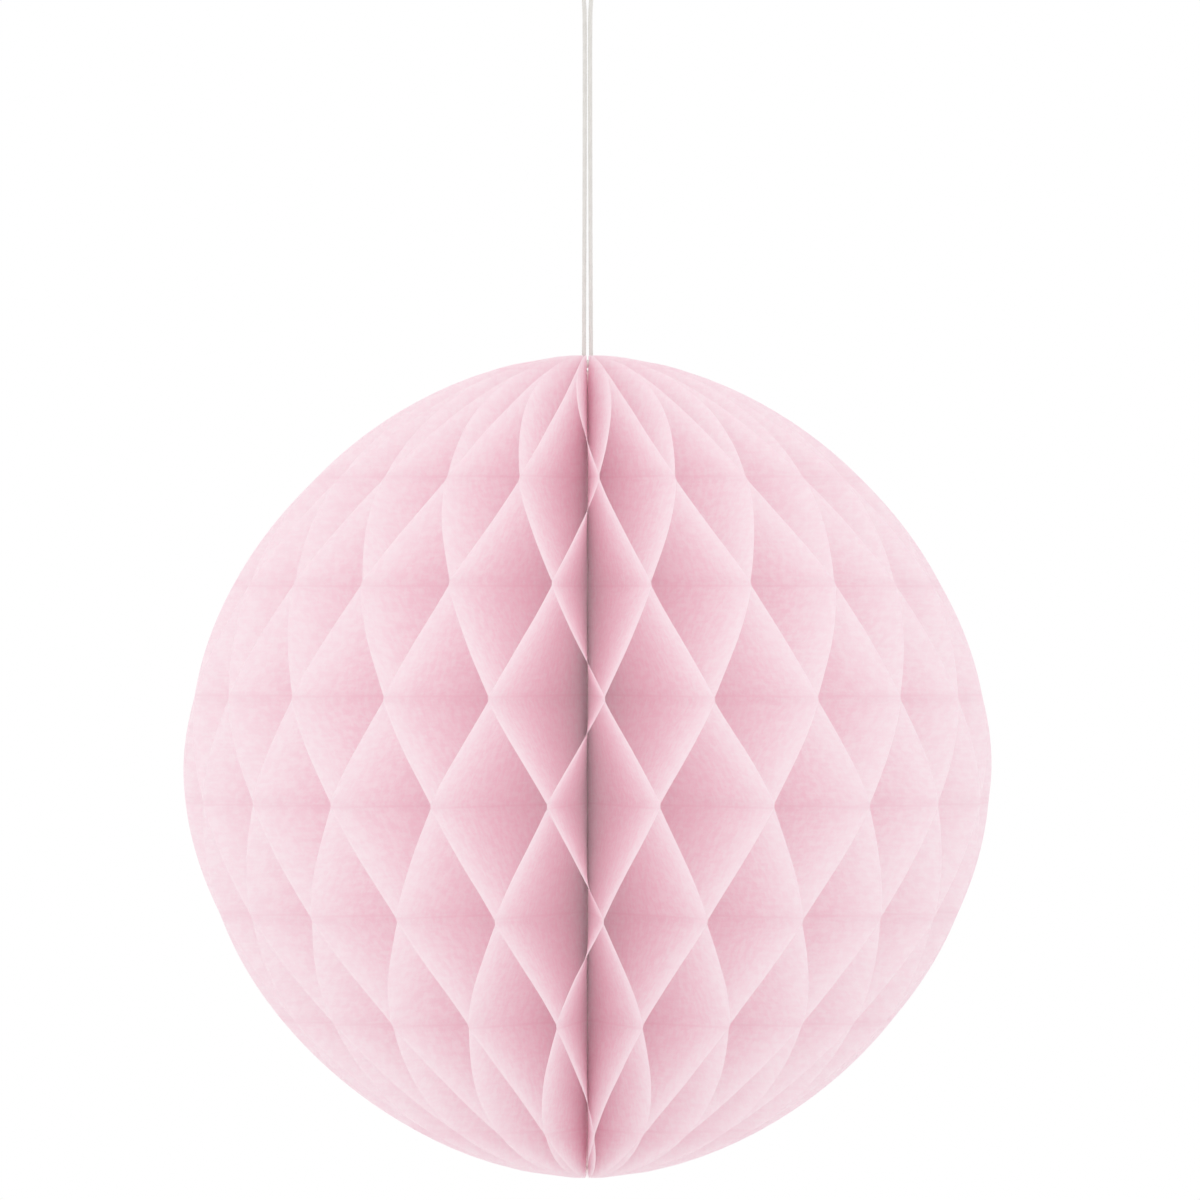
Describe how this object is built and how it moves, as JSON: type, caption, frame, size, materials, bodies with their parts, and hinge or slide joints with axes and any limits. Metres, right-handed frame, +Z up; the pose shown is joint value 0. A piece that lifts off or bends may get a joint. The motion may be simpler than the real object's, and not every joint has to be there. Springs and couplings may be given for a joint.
{
  "type": "paper honeycomb ball",
  "caption": "Round tissue-paper honeycomb ball hung on a doubled cord; it fans open round its spine from a thin half disc between two cover cards.",
  "frame": {"origin": "where the cord's loop bears on the hook that it hangs from", "axes": "+Z up along the ball's axis; +Y from the axis towards the seam where the two cover cards meet; -Y towards the viewer"},
  "size_m": [0.1998, 0.1992, 0.2965],
  "materials": {
    "tissue": "matte",
    "card": "matte",
    "adhesive": "satin",
    "thread": "matte",
    "cord": "matte"
  },
  "bodies": {
    "hanging_loop": {"hanging_cord": "cord"},
    "knot": {"cord_knot": "cord"},
    "first_card": {"first_cover_card": "card", "adhesive_pad_top": "adhesive", "adhesive_pad_middle": "adhesive", "adhesive_pad_bottom": "adhesive", "spine_thread": "thread"},
    "last_card": {"last_cover_card": "card"},
    "leaf_01_body": {"leaf_01": "tissue"},
    "leaf_02_body": {"leaf_02": "tissue"},
    "leaf_03_body": {"leaf_03": "tissue"},
    "leaf_04_body": {"leaf_04": "tissue"},
    "leaf_05_body": {"leaf_05": "tissue"},
    "leaf_06_body": {"leaf_06": "tissue"},
    "leaf_07_body": {"leaf_07": "tissue"},
    "leaf_08_body": {"leaf_08": "tissue"},
    "leaf_09_body": {"leaf_09": "tissue"},
    "leaf_10_body": {"leaf_10": "tissue"},
    "leaf_11_body": {"leaf_11": "tissue"},
    "leaf_12_body": {"leaf_12": "tissue"},
    "leaf_13_body": {"leaf_13": "tissue"},
    "leaf_14_body": {"leaf_14": "tissue"},
    "leaf_15_body": {"leaf_15": "tissue"},
    "leaf_16_body": {"leaf_16": "tissue"},
    "leaf_17_body": {"leaf_17": "tissue"},
    "leaf_18_body": {"leaf_18": "tissue"},
    "leaf_19_body": {"leaf_19": "tissue"},
    "leaf_20_body": {"leaf_20": "tissue"},
    "leaf_21_body": {"leaf_21": "tissue"},
    "leaf_22_body": {"leaf_22": "tissue"},
    "leaf_23_body": {"leaf_23": "tissue"},
    "leaf_24_body": {"leaf_24": "tissue"},
    "leaf_25_body": {"leaf_25": "tissue"},
    "leaf_26_body": {"leaf_26": "tissue"},
    "leaf_27_body": {"leaf_27": "tissue"},
    "leaf_28_body": {"leaf_28": "tissue"},
    "leaf_29_body": {"leaf_29": "tissue"},
    "leaf_30_body": {"leaf_30": "tissue"},
    "leaf_31_body": {"leaf_31": "tissue"},
    "leaf_32_body": {"leaf_32": "tissue"},
    "leaf_33_body": {"leaf_33": "tissue"},
    "leaf_34_body": {"leaf_34": "tissue"},
    "leaf_35_body": {"leaf_35": "tissue"},
    "leaf_36_body": {"leaf_36": "tissue"},
    "leaf_37_body": {"leaf_37": "tissue"},
    "leaf_38_body": {"leaf_38": "tissue"},
    "leaf_39_body": {"leaf_39": "tissue"},
    "leaf_40_body": {"leaf_40": "tissue"},
    "leaf_41_body": {"leaf_41": "tissue"},
    "leaf_42_body": {"leaf_42": "tissue"},
    "leaf_43_body": {"leaf_43": "tissue"},
    "leaf_44_body": {"leaf_44": "tissue"}
  },
  "joints": [
    {"name": "cord_twist", "type": "hinge", "parent": "hanging_loop", "child": "knot", "pos_m": [0, 0, -0.0942], "axis": [0, 0, 1], "continuous": true},
    {"name": "ball_swing", "type": "hinge", "parent": "knot", "child": "first_card", "pos_m": [0, 0, -0.0942], "axis": [0, 1, 0], "range_deg": [-30, 30]},
    {"name": "fan_fold", "type": "hinge", "parent": "first_card", "child": "last_card", "pos_m": [0, 0, -0.19385], "axis": [0, 0, 1], "range_deg": [-352, 0]},
    {"name": "leaf_01_fan", "type": "hinge", "parent": "first_card", "child": "leaf_01_body", "pos_m": [0, 0, -0.19385], "axis": [0, 0, 1], "range_deg": [-4.01, 0], "deforming": ["leaf_01"]},
    {"name": "leaf_02_fan", "type": "hinge", "parent": "first_card", "child": "leaf_02_body", "pos_m": [0, 0, -0.19385], "axis": [0, 0, 1], "range_deg": [-12.01, 0], "deforming": ["leaf_02"]},
    {"name": "leaf_03_fan", "type": "hinge", "parent": "first_card", "child": "leaf_03_body", "pos_m": [0, 0, -0.19385], "axis": [0, 0, 1], "range_deg": [-20.01, 0], "deforming": ["leaf_03"]},
    {"name": "leaf_04_fan", "type": "hinge", "parent": "first_card", "child": "leaf_04_body", "pos_m": [0, 0, -0.19385], "axis": [0, 0, 1], "range_deg": [-28.01, 0], "deforming": ["leaf_04"]},
    {"name": "leaf_05_fan", "type": "hinge", "parent": "first_card", "child": "leaf_05_body", "pos_m": [0, 0, -0.19385], "axis": [0, 0, 1], "range_deg": [-36.01, 0], "deforming": ["leaf_05"]},
    {"name": "leaf_06_fan", "type": "hinge", "parent": "first_card", "child": "leaf_06_body", "pos_m": [0, 0, -0.19385], "axis": [0, 0, 1], "range_deg": [-44.01, 0], "deforming": ["leaf_06"]},
    {"name": "leaf_07_fan", "type": "hinge", "parent": "first_card", "child": "leaf_07_body", "pos_m": [0, 0, -0.19385], "axis": [0, 0, 1], "range_deg": [-52.01, 0], "deforming": ["leaf_07"]},
    {"name": "leaf_08_fan", "type": "hinge", "parent": "first_card", "child": "leaf_08_body", "pos_m": [0, 0, -0.19385], "axis": [0, 0, 1], "range_deg": [-60.01, 0], "deforming": ["leaf_08"]},
    {"name": "leaf_09_fan", "type": "hinge", "parent": "first_card", "child": "leaf_09_body", "pos_m": [0, 0, -0.19385], "axis": [0, 0, 1], "range_deg": [-68.01, 0], "deforming": ["leaf_09"]},
    {"name": "leaf_10_fan", "type": "hinge", "parent": "first_card", "child": "leaf_10_body", "pos_m": [0, 0, -0.19385], "axis": [0, 0, 1], "range_deg": [-76.01, 0], "deforming": ["leaf_10"]},
    {"name": "leaf_11_fan", "type": "hinge", "parent": "first_card", "child": "leaf_11_body", "pos_m": [0, 0, -0.19385], "axis": [0, 0, 1], "range_deg": [-84.01, 0], "deforming": ["leaf_11"]},
    {"name": "leaf_12_fan", "type": "hinge", "parent": "first_card", "child": "leaf_12_body", "pos_m": [0, 0, -0.19385], "axis": [0, 0, 1], "range_deg": [-92.01, 0], "deforming": ["leaf_12"]},
    {"name": "leaf_13_fan", "type": "hinge", "parent": "first_card", "child": "leaf_13_body", "pos_m": [0, 0, -0.19385], "axis": [0, 0, 1], "range_deg": [-100.01, 0], "deforming": ["leaf_13"]},
    {"name": "leaf_14_fan", "type": "hinge", "parent": "first_card", "child": "leaf_14_body", "pos_m": [0, 0, -0.19385], "axis": [0, 0, 1], "range_deg": [-108.01, 0], "deforming": ["leaf_14"]},
    {"name": "leaf_15_fan", "type": "hinge", "parent": "first_card", "child": "leaf_15_body", "pos_m": [0, 0, -0.19385], "axis": [0, 0, 1], "range_deg": [-116.01, 0], "deforming": ["leaf_15"]},
    {"name": "leaf_16_fan", "type": "hinge", "parent": "first_card", "child": "leaf_16_body", "pos_m": [0, 0, -0.19385], "axis": [0, 0, 1], "range_deg": [-124.01, 0], "deforming": ["leaf_16"]},
    {"name": "leaf_17_fan", "type": "hinge", "parent": "first_card", "child": "leaf_17_body", "pos_m": [0, 0, -0.19385], "axis": [0, 0, 1], "range_deg": [-132.01, 0], "deforming": ["leaf_17"]},
    {"name": "leaf_18_fan", "type": "hinge", "parent": "first_card", "child": "leaf_18_body", "pos_m": [0, 0, -0.19385], "axis": [0, 0, 1], "range_deg": [-140.01, 0], "deforming": ["leaf_18"]},
    {"name": "leaf_19_fan", "type": "hinge", "parent": "first_card", "child": "leaf_19_body", "pos_m": [0, 0, -0.19385], "axis": [0, 0, 1], "range_deg": [-148.01, 0], "deforming": ["leaf_19"]},
    {"name": "leaf_20_fan", "type": "hinge", "parent": "first_card", "child": "leaf_20_body", "pos_m": [0, 0, -0.19385], "axis": [0, 0, 1], "range_deg": [-156.01, 0], "deforming": ["leaf_20"]},
    {"name": "leaf_21_fan", "type": "hinge", "parent": "first_card", "child": "leaf_21_body", "pos_m": [0, 0, -0.19385], "axis": [0, 0, 1], "range_deg": [-164.01, 0], "deforming": ["leaf_21"]},
    {"name": "leaf_22_fan", "type": "hinge", "parent": "first_card", "child": "leaf_22_body", "pos_m": [0, 0, -0.19385], "axis": [0, 0, 1], "range_deg": [-172.01, 0], "deforming": ["leaf_22"]},
    {"name": "leaf_23_fan", "type": "hinge", "parent": "first_card", "child": "leaf_23_body", "pos_m": [0, 0, -0.19385], "axis": [0, 0, 1], "range_deg": [-180.01, 0], "deforming": ["leaf_23"]},
    {"name": "leaf_24_fan", "type": "hinge", "parent": "first_card", "child": "leaf_24_body", "pos_m": [0, 0, -0.19385], "axis": [0, 0, 1], "range_deg": [-188.01, 0], "deforming": ["leaf_24"]},
    {"name": "leaf_25_fan", "type": "hinge", "parent": "first_card", "child": "leaf_25_body", "pos_m": [0, 0, -0.19385], "axis": [0, 0, 1], "range_deg": [-196.01, 0], "deforming": ["leaf_25"]},
    {"name": "leaf_26_fan", "type": "hinge", "parent": "first_card", "child": "leaf_26_body", "pos_m": [0, 0, -0.19385], "axis": [0, 0, 1], "range_deg": [-204.01, 0], "deforming": ["leaf_26"]},
    {"name": "leaf_27_fan", "type": "hinge", "parent": "first_card", "child": "leaf_27_body", "pos_m": [0, 0, -0.19385], "axis": [0, 0, 1], "range_deg": [-212.01, 0], "deforming": ["leaf_27"]},
    {"name": "leaf_28_fan", "type": "hinge", "parent": "first_card", "child": "leaf_28_body", "pos_m": [0, 0, -0.19385], "axis": [0, 0, 1], "range_deg": [-220.01, 0], "deforming": ["leaf_28"]},
    {"name": "leaf_29_fan", "type": "hinge", "parent": "first_card", "child": "leaf_29_body", "pos_m": [0, 0, -0.19385], "axis": [0, 0, 1], "range_deg": [-228.01, 0], "deforming": ["leaf_29"]},
    {"name": "leaf_30_fan", "type": "hinge", "parent": "first_card", "child": "leaf_30_body", "pos_m": [0, 0, -0.19385], "axis": [0, 0, 1], "range_deg": [-236.01, 0], "deforming": ["leaf_30"]},
    {"name": "leaf_31_fan", "type": "hinge", "parent": "first_card", "child": "leaf_31_body", "pos_m": [0, 0, -0.19385], "axis": [0, 0, 1], "range_deg": [-244.01, 0], "deforming": ["leaf_31"]},
    {"name": "leaf_32_fan", "type": "hinge", "parent": "first_card", "child": "leaf_32_body", "pos_m": [0, 0, -0.19385], "axis": [0, 0, 1], "range_deg": [-252.01, 0], "deforming": ["leaf_32"]},
    {"name": "leaf_33_fan", "type": "hinge", "parent": "first_card", "child": "leaf_33_body", "pos_m": [0, 0, -0.19385], "axis": [0, 0, 1], "range_deg": [-260.01, 0], "deforming": ["leaf_33"]},
    {"name": "leaf_34_fan", "type": "hinge", "parent": "first_card", "child": "leaf_34_body", "pos_m": [0, 0, -0.19385], "axis": [0, 0, 1], "range_deg": [-268.01, 0], "deforming": ["leaf_34"]},
    {"name": "leaf_35_fan", "type": "hinge", "parent": "first_card", "child": "leaf_35_body", "pos_m": [0, 0, -0.19385], "axis": [0, 0, 1], "range_deg": [-276.01, 0], "deforming": ["leaf_35"]},
    {"name": "leaf_36_fan", "type": "hinge", "parent": "first_card", "child": "leaf_36_body", "pos_m": [0, 0, -0.19385], "axis": [0, 0, 1], "range_deg": [-284.01, 0], "deforming": ["leaf_36"]},
    {"name": "leaf_37_fan", "type": "hinge", "parent": "first_card", "child": "leaf_37_body", "pos_m": [0, 0, -0.19385], "axis": [0, 0, 1], "range_deg": [-292.01, 0], "deforming": ["leaf_37"]},
    {"name": "leaf_38_fan", "type": "hinge", "parent": "first_card", "child": "leaf_38_body", "pos_m": [0, 0, -0.19385], "axis": [0, 0, 1], "range_deg": [-300.01, 0], "deforming": ["leaf_38"]},
    {"name": "leaf_39_fan", "type": "hinge", "parent": "first_card", "child": "leaf_39_body", "pos_m": [0, 0, -0.19385], "axis": [0, 0, 1], "range_deg": [-308.01, 0], "deforming": ["leaf_39"]},
    {"name": "leaf_40_fan", "type": "hinge", "parent": "first_card", "child": "leaf_40_body", "pos_m": [0, 0, -0.19385], "axis": [0, 0, 1], "range_deg": [-316.01, 0], "deforming": ["leaf_40"]},
    {"name": "leaf_41_fan", "type": "hinge", "parent": "first_card", "child": "leaf_41_body", "pos_m": [0, 0, -0.19385], "axis": [0, 0, 1], "range_deg": [-324.01, 0], "deforming": ["leaf_41"]},
    {"name": "leaf_42_fan", "type": "hinge", "parent": "first_card", "child": "leaf_42_body", "pos_m": [0, 0, -0.19385], "axis": [0, 0, 1], "range_deg": [-332.01, 0], "deforming": ["leaf_42"]},
    {"name": "leaf_43_fan", "type": "hinge", "parent": "first_card", "child": "leaf_43_body", "pos_m": [0, 0, -0.19385], "axis": [0, 0, 1], "range_deg": [-340.01, 0], "deforming": ["leaf_43"]},
    {"name": "leaf_44_fan", "type": "hinge", "parent": "first_card", "child": "leaf_44_body", "pos_m": [0, 0, -0.19385], "axis": [0, 0, 1], "range_deg": [-348.01, 0], "deforming": ["leaf_44"]}
  ],
  "couplings": [
    {"joint": "leaf_01_fan", "follows": "fan_fold", "ratio": 0.011364},
    {"joint": "leaf_02_fan", "follows": "fan_fold", "ratio": 0.034091},
    {"joint": "leaf_03_fan", "follows": "fan_fold", "ratio": 0.056818},
    {"joint": "leaf_04_fan", "follows": "fan_fold", "ratio": 0.079545},
    {"joint": "leaf_05_fan", "follows": "fan_fold", "ratio": 0.10227},
    {"joint": "leaf_06_fan", "follows": "fan_fold", "ratio": 0.125},
    {"joint": "leaf_07_fan", "follows": "fan_fold", "ratio": 0.14773},
    {"joint": "leaf_08_fan", "follows": "fan_fold", "ratio": 0.17045},
    {"joint": "leaf_09_fan", "follows": "fan_fold", "ratio": 0.19318},
    {"joint": "leaf_10_fan", "follows": "fan_fold", "ratio": 0.21591},
    {"joint": "leaf_11_fan", "follows": "fan_fold", "ratio": 0.23864},
    {"joint": "leaf_12_fan", "follows": "fan_fold", "ratio": 0.26136},
    {"joint": "leaf_13_fan", "follows": "fan_fold", "ratio": 0.28409},
    {"joint": "leaf_14_fan", "follows": "fan_fold", "ratio": 0.30682},
    {"joint": "leaf_15_fan", "follows": "fan_fold", "ratio": 0.32954},
    {"joint": "leaf_16_fan", "follows": "fan_fold", "ratio": 0.35227},
    {"joint": "leaf_17_fan", "follows": "fan_fold", "ratio": 0.375},
    {"joint": "leaf_18_fan", "follows": "fan_fold", "ratio": 0.39773},
    {"joint": "leaf_19_fan", "follows": "fan_fold", "ratio": 0.42046},
    {"joint": "leaf_20_fan", "follows": "fan_fold", "ratio": 0.44318},
    {"joint": "leaf_21_fan", "follows": "fan_fold", "ratio": 0.46591},
    {"joint": "leaf_22_fan", "follows": "fan_fold", "ratio": 0.48864},
    {"joint": "leaf_23_fan", "follows": "fan_fold", "ratio": 0.51136},
    {"joint": "leaf_24_fan", "follows": "fan_fold", "ratio": 0.53409},
    {"joint": "leaf_25_fan", "follows": "fan_fold", "ratio": 0.55682},
    {"joint": "leaf_26_fan", "follows": "fan_fold", "ratio": 0.57954},
    {"joint": "leaf_27_fan", "follows": "fan_fold", "ratio": 0.60227},
    {"joint": "leaf_28_fan", "follows": "fan_fold", "ratio": 0.625},
    {"joint": "leaf_29_fan", "follows": "fan_fold", "ratio": 0.64773},
    {"joint": "leaf_30_fan", "follows": "fan_fold", "ratio": 0.67046},
    {"joint": "leaf_31_fan", "follows": "fan_fold", "ratio": 0.69318},
    {"joint": "leaf_32_fan", "follows": "fan_fold", "ratio": 0.71591},
    {"joint": "leaf_33_fan", "follows": "fan_fold", "ratio": 0.73864},
    {"joint": "leaf_34_fan", "follows": "fan_fold", "ratio": 0.76136},
    {"joint": "leaf_35_fan", "follows": "fan_fold", "ratio": 0.78409},
    {"joint": "leaf_36_fan", "follows": "fan_fold", "ratio": 0.80682},
    {"joint": "leaf_37_fan", "follows": "fan_fold", "ratio": 0.82954},
    {"joint": "leaf_38_fan", "follows": "fan_fold", "ratio": 0.85227},
    {"joint": "leaf_39_fan", "follows": "fan_fold", "ratio": 0.875},
    {"joint": "leaf_40_fan", "follows": "fan_fold", "ratio": 0.89773},
    {"joint": "leaf_41_fan", "follows": "fan_fold", "ratio": 0.92046},
    {"joint": "leaf_42_fan", "follows": "fan_fold", "ratio": 0.94318},
    {"joint": "leaf_43_fan", "follows": "fan_fold", "ratio": 0.96591},
    {"joint": "leaf_44_fan", "follows": "fan_fold", "ratio": 0.98864}
  ]
}
